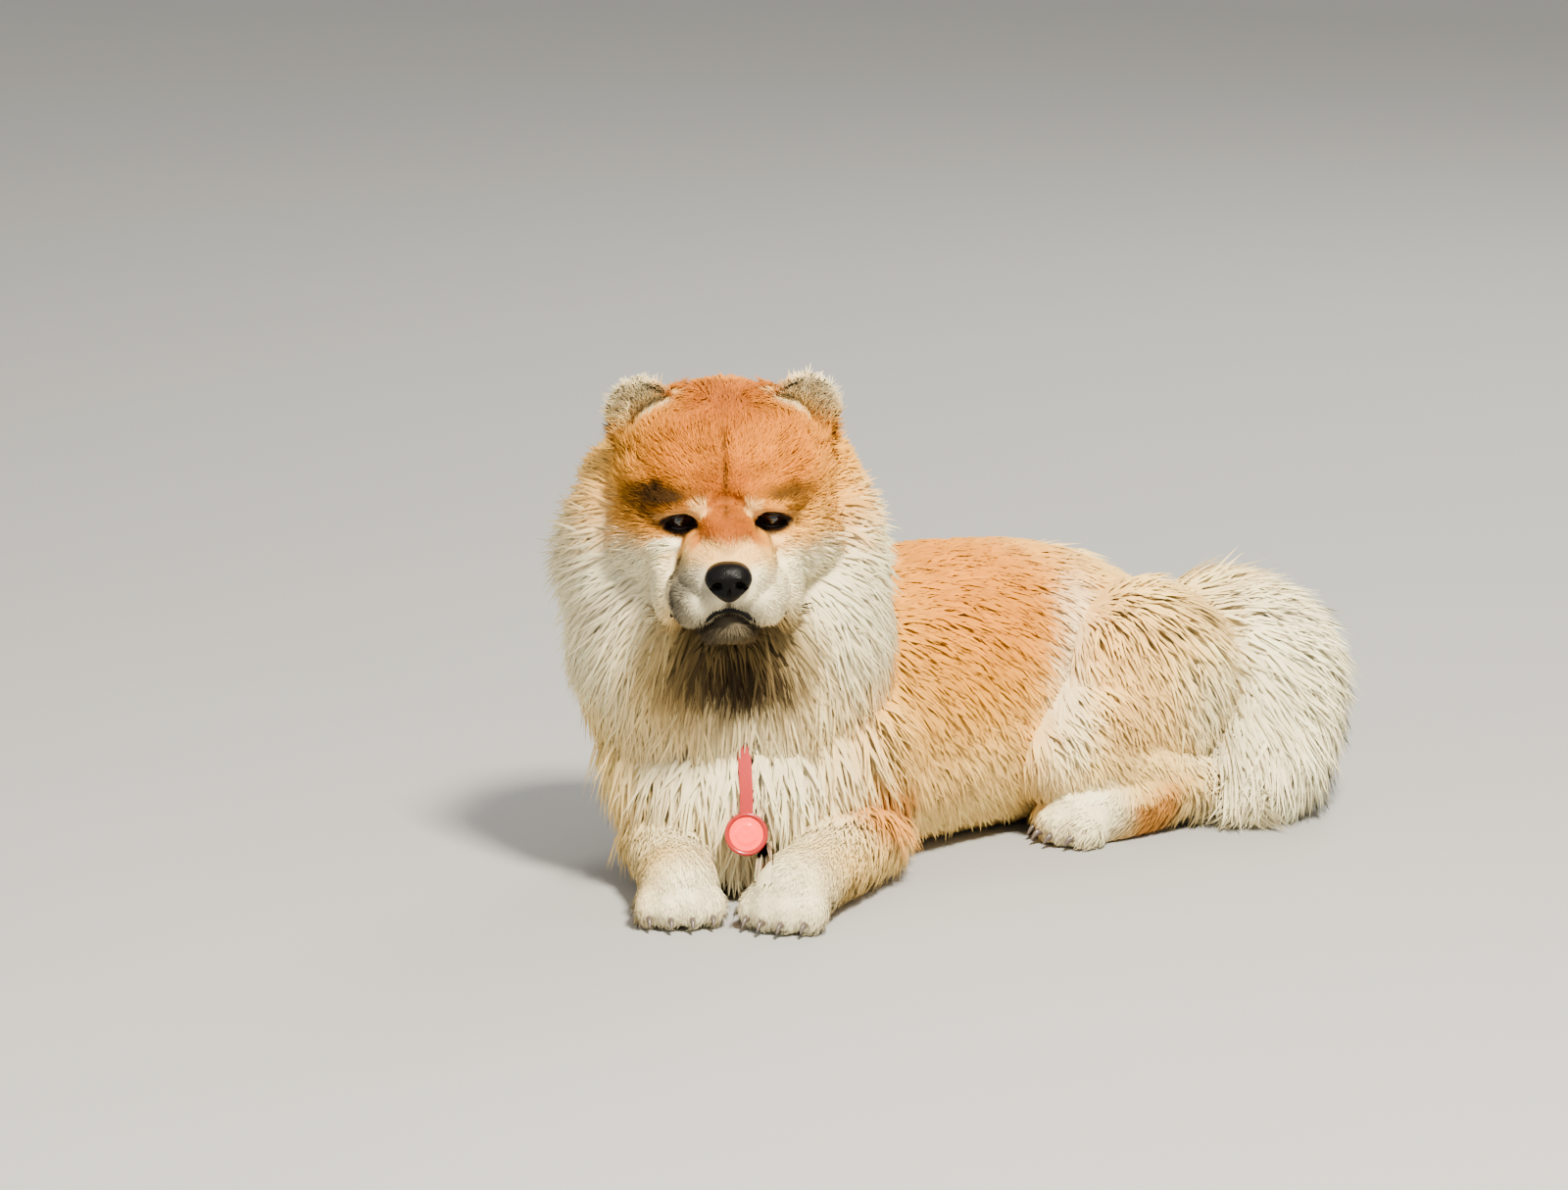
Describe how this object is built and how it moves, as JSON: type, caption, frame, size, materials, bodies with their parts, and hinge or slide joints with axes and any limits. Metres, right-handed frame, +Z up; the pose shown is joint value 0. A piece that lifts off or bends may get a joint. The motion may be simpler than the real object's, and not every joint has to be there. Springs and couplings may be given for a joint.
{
  "type": "lying chow chow dog model",
  "caption": "Life-size chow chow lying on its belly with head raised, deep ruff, long coat and plumed tail, wearing a small red tag lamp at the chest.",
  "frame": {"origin": "the middle of the footprint of the bounding box, at floor level", "axes": "+Z up; the head, chest and forelegs face -Y; the trunk runs back and curves towards the dog's left, +X"},
  "size_m": [0.7572, 0.727, 0.4818],
  "materials": {
    "face_coat": "short dense orange fur",
    "cream_coat": "long dense cream fur",
    "body_coat": "long dense orange fur fading to cream below",
    "nose": "moist black leathery skin",
    "eye": "wet dark brown eye",
    "tag_case": "gloss dark red plastic",
    "tag_lens": "bright red lit plastic",
    "tag_strap": "smooth red strap"
  },
  "bodies": {
    "root": {"head": "face_coat", "ear_left": "face_coat", "ear_right": "face_coat", "neck": "cream_coat", "tail": "cream_coat", "torso": "body_coat", "foreleg_left": "cream_coat", "foreleg_right": "cream_coat", "hindleg_left": "cream_coat", "hindleg_right": "cream_coat", "nose": "nose", "eye_left": "eye", "eye_right": "eye", "tag_case": "tag_case", "tag_lens": "tag_lens", "tag_strap": "tag_strap"}
  },
  "joints": []
}
